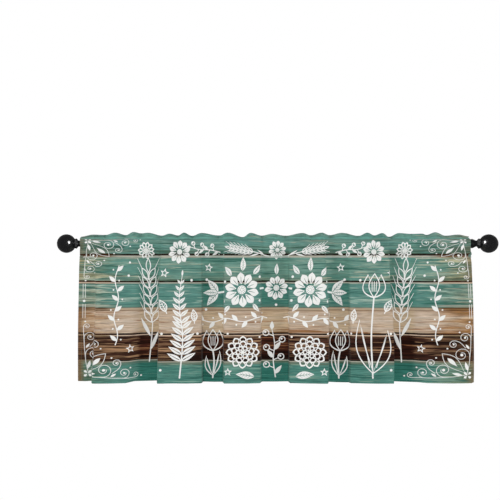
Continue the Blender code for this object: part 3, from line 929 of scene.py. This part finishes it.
def wood_print(nodes):
    """Colour of the printed planks, with painted shade in the deep folds, and of the white ink over
    them, with u and v.
    """
    u, v, _ = nodes.split("SeparateXYZ", nodes.add("UVMap", {}, uv_map=UV_MAP))
    wavy_v = v - 0.0008 + nodes.noise(nodes.vector(u * 7.0, 0.0)) * 0.0016
    height = nodes.between(wavy_v, V_LOW * MM, V_HIGH * MM, kind="LINEAR")

    def by_height(starts, values, interpolation="CONSTANT"):
        places = [(start - V_LOW) / (V_HIGH - V_LOW) for start in starts]
        return nodes.ramp(height, list(zip(places, values)), interpolation)

    starts, colours, fold_shade_tint, stained = zip(*PLANKS)
    paint, shade, streak, grain, bare = (by_height(starts, [srgb(*colour) for colour in kind])
                                         for kind in zip(*colours))
    fold_shade_tint = by_height(starts, fold_shade_tint)
    stained = by_height(starts, [(left, right, 0) for left, right in stained])
    left_stain, right_stain, _ = nodes.split("SeparateColor", stained)
    plank_place = by_height(starts, [(index / 8,) * 3 for index in range(len(PLANKS))]) * 61.0
    wear = by_height([row[0] for row in WEAR], np.array(WEAR)[:, 1:] / 100, "LINEAR")
    streaks, grains, gold = nodes.split("SeparateColor", wear)
    # fibres run along u: each noise is stretched, bowed a little and new on every plank
    bow = nodes.noise(nodes.vector(u * 5.0, v * 14.0, plank_place))

    def fibres(per_u, per_v, detail=2.0, roughness=0.5, bowed=0.0):
        return nodes.noise(nodes.vector(u * per_u, v * per_v + bow * bowed, plank_place),
                           1.0, detail, roughness)

    def lines(noise, amount, softness):
        """Where a noise stands above the level that goes with an amount."""
        return nodes.between(noise - (amount * (COMMON - RARE) + RARE), 0.0, softness)

    def painted(under, share, strength, over):
        return nodes.colour(nodes.maths("MULTIPLY", share, strength, clamp=True), under, over)

    folds = [(0.0, (0, 0, 0))]
    for start, end in DEEP_FOLDS:
        for place, kept in ((start, 0), (start + FOLD_SOFT, 1), (end - FOLD_SOFT, 1), (end, 0)):
            folds.append((place / FLAT_WIDTH, (kept,) * 3))
    fold_shade_mask = nodes.ramp(u / FLAT_WIDTH, folds)
    from_left = nodes.between(u, END_LENGTH, 0.02)
    from_right = nodes.between(u, FLAT_WIDTH - END_LENGTH, FLAT_WIDTH - 0.02)
    ends = nodes.maths("MAXIMUM", from_left, from_right)
    patch = fibres(2.6, 60.0, bowed=0.8) - 0.5
    # fewer light streaks in the deep folds, as part of their painted shade
    clumps = patch * 1.5 + streaks + ends * 0.34 - fold_shade_mask * 0.26
    darks = grains - patch * 1.2 + ends * 0.42

    colour = nodes.colour(nodes.between(fibres(2.6, 100.0, 3.0, 0.6, 1.0), 0.42, 0.58), paint, shade)
    worn = nodes.colour(ends * 0.75, streak, bare)
    dim = nodes.colour(0.42, worn, paint)
    # layers of lines: their fibres, how many there are, how soft, how strong and of what colour
    for kind, amount, softness, strength, over in (
            ((5.0, 160.0, 3.0, 0.6, 1.8), clumps, 0.06, 0.75, dim),
            ((5.5, 230.0, 2.0, 0.5, 2.6), darks, 0.03, 0.90, grain),
            ((7.0, 230.0, 2.0, 0.5, 2.6), clumps, 0.03, 0.95, worn),
            ((9.0, 360.0, 2.0, 0.5, 4.0), clumps, 0.04, 0.70, streak),
            ((7.0, 400.0, 2.0, 0.5, 4.0), darks, 0.04, 0.70, grain)):
        colour = painted(colour, lines(fibres(*kind), amount, softness), strength, over)

    veil = nodes.between(fibres(4.5, 70.0, 3.0, 0.6, 1.4), 0.38, 0.60)
    colour = painted(colour, ends * veil, 0.28, bare)
    stains = nodes.between(fibres(7.0, 110.0, bowed=2.0), 0.42, 0.52)
    at_tan = nodes.between(v, 0.149, 0.153) * nodes.between(v, 0.230, 0.226)
    gilded = at_tan * (from_left * 0.25 + from_right * 0.72) + gold
    colour = painted(colour, stains, gilded, GOLDEN)
    ragged = fibres(9.0, 70.0, 3.0, 0.6) * 0.036 + 0.002
    for stain, inward in ((left_stain, u), (right_stain, (FLAT_WIDTH - u) * 0.6)):
        colour = painted(colour, nodes.between(inward / ragged, 1.2, 0.2), stain, SEPIA)
    # painted shade in the deep folds: each plank's colour is scaled there, mostly darker and on two
    # planks a little lighter, standing in for the shade of the folds
    colour = nodes.colour(fold_shade_mask, colour, nodes.colour(1.0, colour, fold_shade_tint, "MULTIPLY"))
    fleck = nodes.between(fibres(26.0, 300.0, 3.0, 0.65), 0.3, 0.7, -1.0, 1.0, "LINEAR")
    fleck = fleck * (ends * 0.2 + 0.28) + 1.0
    colour = nodes.colour(1.0, colour, nodes.vector(fleck, fleck, fleck), "MULTIPLY")

    broken = nodes.between(fibres(20.0, 60.0), 0.30, 0.46, 0.74, 1.0)
    at_ends = nodes.between(ends, 0.0, 0.5)
    for middle, half, tint, end_tint, strength in SEAMS:
        away = nodes.maths("ABSOLUTE", wavy_v - middle * MM)
        line = nodes.between(away, 1.15 * half * MM, 0.85 * half * MM, 0.0, strength)
        colour = nodes.colour(line * broken, colour, nodes.colour(at_ends, tint, end_tint))

    ink = nodes.add("Attribute", {}, 2, attribute_name="ink")
    rubbed = nodes.noise(nodes.vector(u * 190.0, v * 420.0), 1.0, 3.0)
    rubbed = nodes.between(rubbed, 0.24, 0.42, 0.84, 1.0)
    return nodes.colour(ink * rubbed, colour, INK_WHITE), u, v


def weave_bump(nodes, u, v, strength, pitch=0.00055):
    """Normal of a plain weave, with threads along u and v."""
    warp, weft = (nodes.maths("SINE", place * (2 * math.pi / pitch)) for place in (u, v))
    slub = nodes.noise(nodes.vector(u * 55.0, v * 900.0))
    return nodes.bump(slub * 1.4 + warp * weft, strength, 0.00012)


def printed_cloth():
    nodes = Nodes("printed_cloth")
    colour, u, v = wood_print(nodes)
    return nodes.shade(Base_Color=colour, Normal=weave_bump(nodes, u, v, 0.35), Roughness=0.82,
                       Specular_IOR_Level=0.15, Sheen_Weight=0.06, Sheen_Roughness=0.5)


def cloth_reverse():
    """The unprinted side: off-white, with the print showing faintly through."""
    nodes = Nodes("cloth_reverse")
    colour, u, v = wood_print(nodes)
    faded = nodes.colour(0.62, colour, srgb(214, 212, 205))
    return nodes.shade(Base_Color=faded, Normal=weave_bump(nodes, u, v, 0.45), Roughness=0.88,
                       Specular_IOR_Level=0.2)


def thread():
    """Sewing thread, a little uneven in its colour."""
    nodes = Nodes("sewing_thread")
    shade = nodes.noise(nodes.add("TexCoord", {}, 3), 900.0)
    colour = nodes.ramp(shade, [(0.3, srgb(92, 122, 112)), (0.7, srgb(138, 164, 152))])
    return nodes.shade(Base_Color=colour, Roughness=0.55)


def black_enamel(name, rougher, coat):
    """Black enamel with a faint orange peel and a little dust."""
    nodes = Nodes(name)
    place = nodes.add("TexCoord", {}, 3)
    dust = nodes.between(nodes.noise(place, 420.0, 6.0, 0.7), 0.60, 0.78)
    haze = nodes.between(nodes.noise(place, 38.0, 3.0), 0.35, 0.70, 0.20 + rougher, 0.30 + rougher)
    return nodes.shade(
        Base_Color=nodes.colour(dust * 0.1, srgb(18, 18, 20), srgb(90, 90, 92)),
        Roughness=dust * 0.12 + haze, Normal=nodes.bump(nodes.noise(place, 260.0), 0.12, 0.0002),
        Coat_Weight=coat, Coat_Roughness=0.08)


# ---- pieces
def add_object(name, data, *materials):
    for material in materials:
        data.materials.append(material)
    item = bpy.data.objects.new(name, data)
    bpy.context.scene.collection.objects.link(item)
    return item


def mesh_piece(name, points, faces, *materials):
    mesh = bpy.data.meshes.new(name)
    mesh.from_pydata(np.asarray(points).tolist(), [], [list(map(int, face)) for face in faces])
    mesh.shade_smooth()
    return add_object(name, mesh, *materials)


def flat_grid(cloth):
    """Flat places of the cloth's own mesh points: rows follow v, columns follow the folds."""
    arc = np.arange(1, 5) * math.pi * TURN_RADIUS / 4
    side_out = np.concatenate([-arc, -np.linspace(0.004, SIDE_HEM, 3)])
    skirt_end = cloth.seam_v - 0.012
    rows = np.concatenate([
        -np.linspace(BOTTOM_HEM, 0.006, 4), -arc[::-1],
        np.linspace(0, skirt_end, round(skirt_end / ROW_STEP)),
        np.arange(cloth.seam_v - 0.009, cloth.heading_seam_v + 0.006, POCKET_STEP),
        cloth.top_v + np.array(TOP_ROWS) * MM,
        np.linspace(cloth.top_v + 0.0045, cloth.heading_back_v, 4),
        np.linspace(cloth.heading_back_v + 0.0035, cloth.back_seam_v - 0.003, 12),
        [cloth.back_seam_v, cloth.end_v]])
    points = []
    for v in rows:
        columns = cloth.columns_at(v)
        if v < skirt_end + MM:
            columns = columns[cloth.kept]
        elif cloth.top_v - PUCKER_LENGTH < v <= cloth.heading_back_v:
            extra = [place + width * aside for place, width, _ in cloth.puckers
                     for aside in (-1.2, -0.4, 0.4, 1.2)]
            clear = [place for place in extra if np.abs(columns - place).min() > 0.0007]
            columns = np.sort(np.concatenate([columns, clear]))
        line = np.concatenate([side_out[::-1], columns, FLAT_WIDTH - side_out])
        points.append(np.column_stack([line, np.full(len(line), v)]))
    return np.vstack(points)


def build_cloth(cloth):
    outlines = print_outlines()
    drawn = np.vstack([points for points, _ in outlines])
    tree = kdtree.KDTree(len(drawn))
    for index, (u, v) in enumerate(drawn):
        tree.insert((u, v, 0), index)
    tree.balance()
    grid = [place for place in flat_grid(cloth) if tree.find((*place, 0))[2] > CLEAR_OF_INK]

    faces, first = [], 0
    for points, _ in outlines:
        faces.append(list(range(first, first + len(points))))
        first += len(points)
    places = [Vector(place) for place in [*drawn, *grid]]
    flat, _, triangles, _, _, covering = delaunay_2d_cdt(places, [], faces, 0, 1e-6, True)
    inks = [outlines[max(cover)][1] if cover else BARE for cover in covering]

    flat = np.array([tuple(place) for place in flat])
    points, _ = cloth.place(flat[:, 0], flat[:, 1])
    piece = mesh_piece("valance_cloth", points, triangles, printed_cloth(), cloth_reverse())
    mesh = piece.data
    corners = np.empty(len(mesh.loops), int)
    mesh.loops.foreach_get("vertex_index", corners)
    mesh.uv_layers.new(name=UV_MAP).uv.foreach_set("vector", flat[corners].astype(np.float32).ravel())
    mesh.attributes.new("ink", "FLOAT", "FACE").data.foreach_set("value", np.array(inks, np.float32))

    shell = piece.modifiers.new("thickness", "SOLIDIFY")
    shell.thickness = CLOTH_THICKNESS
    shell.offset = 0
    shell.material_offset = 1
    shell.material_offset_rim = 1
    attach(piece, "root")
    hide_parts("valance")
    return piece


# ---- stitches
STITCH_LENGTH, STITCH_PITCH = 0.0026, 0.0033
THREAD_RADIUS = 0.00022
HEM_STITCHES, SIDE_STITCHES = 0.003, 0.002  # from the raw edge of what is turned in


def stitch_lines(cloth):
    """One row for each stitch: flat place, heading, and 1 if it shows in front or -1 behind."""
    rows = []
    hem_v = BOTTOM_HEM - HEM_STITCHES
    for v, side in ((hem_v, 1), (hem_v, -1), *((seam, 1) for seam in cloth.seams)):
        for u in np.arange(0.004, FLAT_WIDTH - 0.003, STITCH_PITCH):
            rows.append((u, v, 1, 0, side))
    for u in (SIDE_HEM - SIDE_STITCHES, FLAT_WIDTH - SIDE_HEM + SIDE_STITCHES):
        for v in np.arange(0.004, cloth.seam_v - 0.004, STITCH_PITCH):
            rows += [(u, v, 0, 1, 1), (u, v, 0, 1, -1)]
    return np.array(rows)


def build_stitches(cloth):
    """All stitches as one mesh: each is a short thread that dips into the cloth at both ends."""
    u, v, u_ahead, v_ahead, side = stitch_lines(cloth).T
    half = STITCH_LENGTH / 2
    # along the stitch, aside and up from the cloth: a tip, two rings of four and a tip
    shape = [(-half, 0, -0.4)]
    for along in (-0.55 * half, 0.55 * half):
        shape += [(along, aside, up) for aside, up in ((0, 1), (1, 0.2), (0, -0.6), (-1, 0.2))]
    shape.append((half, 0, -0.4))
    template = []
    for here in range(4):
        after = (here + 1) % 4
        template += [(0, 1 + after, 1 + here), (1 + here, 1 + after, 5 + after, 5 + here),
                     (5 + here, 5 + after, 9)]

    layers = np.where(side < 0, 2 * TURN_RADIUS, 0.0)  # a hem's far side is the turned layer
    off = side * (CLOTH_THICKNESS / 2 + 0.4 * THREAD_RADIUS) - layers
    middle, normal = cloth.place(u, v, off)
    ahead, _ = cloth.place(u + u_ahead * half, v + v_ahead * half, off)
    along = (ahead - middle) / np.linalg.norm(ahead - middle, axis=1)[:, None]
    up = normal * side[:, None]
    axes = np.stack([along, np.cross(up, along) * THREAD_RADIUS, up * THREAD_RADIUS], axis=1)
    points = middle[:, None] + np.array(shape) @ axes
    faces = [[corner + 10 * index for corner in face] for index in range(len(u)) for face in template]
    piece = mesh_piece("valance_stitches", points.reshape(-1, 3), faces, thread())
    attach(piece, "root")
    return piece


# ---- finials
ROD_LENGTH, ROD_DIAMETER, ROD_WALL = 1.1764, 0.0254, 0.0008
PIECE_GAP = 0.0003
SPIGOT_LENGTH = 0.028
BALL_RADIUS, BALL_FOOT_RADIUS = 0.0285, 0.0138
BALL_X = 0.6452
BALL_STEPS, NECK_STEP = 40, 0.0006
# The finial's neck from the rod's end out to the ball: place along it and radius.
NECK_ROWS = (
    (0.0, 0.0124), (0.003, 0.0137), (0.0065, 0.014), (0.01, 0.0126), (0.0135, 0.0112),
    (0.0175, 0.0092), (0.021, 0.0098), (0.0238, 0.013), (0.0262, 0.0154), (0.0285, 0.0152),
    (0.0306, 0.0134),
)


def finial_outline():
    """Right-hand finial as (x, radius) points: spigot, neck and ball."""
    shoulder = ROD_LENGTH / 2 + PIECE_GAP
    spigot = ROD_DIAMETER / 2 - ROD_WALL - PIECE_GAP
    outline = [(shoulder - SPIGOT_LENGTH, 0.0), (shoulder - SPIGOT_LENGTH, spigot), (shoulder, spigot)]
    places, radii = np.array(NECK_ROWS).T
    neck = np.arange(0, places[-1], NECK_STEP)
    outline += zip(shoulder + neck, curve_through(places, radii, neck))
    for turn in np.linspace(math.asin(BALL_FOOT_RADIUS / BALL_RADIUS), math.pi, BALL_STEPS + 1):
        outline.append((BALL_X - BALL_RADIUS * math.cos(turn), BALL_RADIUS * math.sin(turn)))
    outline[-1] = (outline[-1][0], 0.0)
    return outline


def build_finial(name, node, side, glossy, satin):
    data = bmesh.new()
    outline = [data.verts.new((side * x, 0.0, radius)) for x, radius in finial_outline()]
    edges = [data.edges.new(pair) for pair in zip(outline, outline[1:])]
    bmesh.ops.spin(data, geom=outline + edges, cent=(0, 0, 0), axis=(1, 0, 0),
                   angle=2 * math.pi, steps=TURNED_SIDES, use_merge=True, use_duplicate=False)
    bmesh.ops.remove_doubles(data, verts=data.verts, dist=1e-6)
    bmesh.ops.recalc_face_normals(data, faces=data.faces)
    mesh = bpy.data.meshes.new(name)
    data.to_mesh(mesh)
    data.free()
    piece = add_object(name, mesh, glossy, satin)
    for face in mesh.polygons:
        if abs(face.center.x) < ROD_LENGTH / 2 + PIECE_GAP + NECK_ROWS[-1][0]:
            face.material_index = 1
    mesh.shade_smooth()
    mesh.set_sharp_from_angle(angle=math.radians(50))
    bpy.data.collections[name].objects.link(piece)
    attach(piece, "root")
    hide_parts(node)


# ---- camera, light and floor
CAMERA_PLACE = (-0.0844, -2.123, -0.0196)
LENS, SENSOR = 50.0, 36.0
FLOOR_Z, FLOOR_REACH = -1.2, 6.0

# One row for each lamp: name, place, what it points at, size and energy.
LAMPS = (
    ("left_softbox", (-3.4, -1.15, 0.45), (0, 0, -0.2), (1.2, 1.8), 50.0),
    ("right_softbox", (3.4, -1.15, 0.45), (0, 0, -0.2), (1.2, 1.8), 50.0),
    ("front_fill", (-0.1, -3.4, 0.9), (0, 0, -0.2), (2.4, 1.6), 66.0),
    ("back_fill", (0.6, 3.4, 1.1), (0, 0, -0.2), (2.4, 1.6), 60.0),
)
# Lamps that only show as a bright spot in the gloss of one finial each.
SPARKS = {
    "rod_finial_left": ("left_spark", (1.19, -1.76, 0.57), (-0.645, 0, 0), (0.75, 1.5), 7.0),
    "rod_finial_right": ("right_spark", (-1.62, -1.06, 0.72), (0.645, 0, 0), (0.75, 1.5), 7.0),
}
SPARK_SPREAD = 36  # degrees
ROOM_LIGHT = 0.12  # of the white world, where it isn't looked at


def add_camera():
    data = bpy.data.cameras.new("camera")
    data.lens = LENS
    data.sensor_width = SENSOR
    camera = add_object("camera", data)
    camera.location = CAMERA_PLACE
    camera.rotation_euler = (math.radians(90), 0, 0)
    bpy.context.scene.camera = camera


def add_lamp(name, place, target, size, energy):
    data = bpy.data.lights.new(name, "AREA")
    data.shape = "RECTANGLE"
    data.size, data.size_y = size
    data.energy = energy
    item = add_object(name, data)
    item.location = place
    toward = Vector(target) - Vector(place)
    item.rotation_euler = toward.to_track_quat("-Z", "Y").to_euler()
    item.visible_camera = False
    return item


def add_lamps():
    for lamp in LAMPS:
        add_lamp(*lamp).visible_glossy = False
    for finial, lamp in SPARKS.items():
        item = add_lamp(*lamp)
        item.data.spread = math.radians(SPARK_SPREAD)
        item.visible_diffuse = False
        item.light_linking.receiver_collection = bpy.data.collections.new(finial)


def add_world():
    """White to look at, and dimmer as a light."""
    nodes = Nodes("studio", bpy.data.worlds)
    seen = nodes.add("LightPath", {})
    strength = nodes.add("MapRange", {"Value": seen, "To Min": ROOM_LIGHT})
    nodes.feed(nodes.tree.nodes["Background"], {"Color": (1, 1, 1, 1), "Strength": strength})
    bpy.context.scene.world = nodes.owner


def add_floor():
    """A pale floor that looks as white as the world and lights the rest as plain paint."""
    nodes = Nodes("studio_floor")
    nodes.shade(Base_Color=srgb(228, 228, 226), Roughness=0.9)
    paint = Value(nodes, nodes.tree.nodes["Principled BSDF"].outputs[0])
    glow = nodes.add("Emission", {"Color": (1, 1, 1, 1)})
    blend = nodes.add("MixShader", {0: nodes.add("LightPath", {}), 1: paint, 2: glow})
    nodes.feed(nodes.tree.nodes["Material Output"], {"Surface": blend})
    signs = ((-1, -1), (1, -1), (1, 1), (-1, 1))
    corners = [(x * FLOOR_REACH, y * FLOOR_REACH, FLOOR_Z) for x, y in signs]
    floor = mesh_piece("floor", corners, [(0, 1, 2, 3)], nodes.owner)
    floor.visible_glossy = False


# ---- the scene
bpy.context.scene.view_settings.view_transform = "Standard"
add_camera()
add_lamps()
add_world()
add_floor()

hung = HungCloth()
cloth_piece = build_cloth(hung)
stitches = build_stitches(hung)
enamel = black_enamel("black_enamel", 0.0, 0.6)
satin = black_enamel("black_enamel_satin", 0.45, 0.0)
build_finial("rod_finial_left", "finial_left", -1, enamel, satin)
build_finial("rod_finial_right", "finial_right", 1, enamel, satin)
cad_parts["rod"].data.materials.clear()
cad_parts["rod"].data.materials.append(satin)
